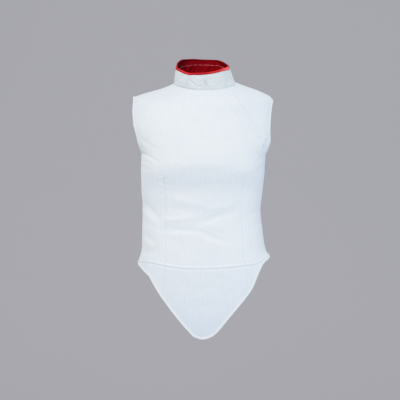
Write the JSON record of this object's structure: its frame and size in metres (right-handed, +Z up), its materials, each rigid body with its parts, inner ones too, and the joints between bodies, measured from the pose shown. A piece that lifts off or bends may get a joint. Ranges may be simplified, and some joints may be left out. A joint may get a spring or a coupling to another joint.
{
  "type": "fencing lame",
  "caption": "Sleeveless women's foil fencing lame in silver-white conductive cloth, filled out with no wearer, with a red-lined stand collar and a V-shaped front apron.",
  "frame": {"origin": "the middle of the base of the neck, level with the tops of the shoulder seams, where the wearer holds the garment up", "axes": "+Z up along the garment's length, the front faces -Y, +X is the wearer's left"},
  "size_m": [0.3669, 0.2454, 0.7161],
  "materials": {
    "foil_cloth": "soft satin metallised weave with fine vertical ribs",
    "edge_tape": "plain matte woven tape",
    "red_pile": "matte velvet pile",
    "red_edge": "matte velvet roll at the collar's top edge"
  },
  "bodies": {
    "root": {"front_centre": "foil_cloth", "front_side_right": "foil_cloth", "front_side_left": "foil_cloth", "shoulder_left": "foil_cloth", "closure_flap": "foil_cloth", "apron_centre": "foil_cloth", "apron_side_right": "foil_cloth", "apron_side_left": "foil_cloth", "back": "foil_cloth", "collar": "foil_cloth", "armhole_binding_right": "edge_tape", "armhole_binding_left": "edge_tape", "hem_binding": "edge_tape", "collar_lining": "red_pile", "back_neck_facing": "red_pile", "collar_binding": "red_edge"}
  },
  "joints": []
}
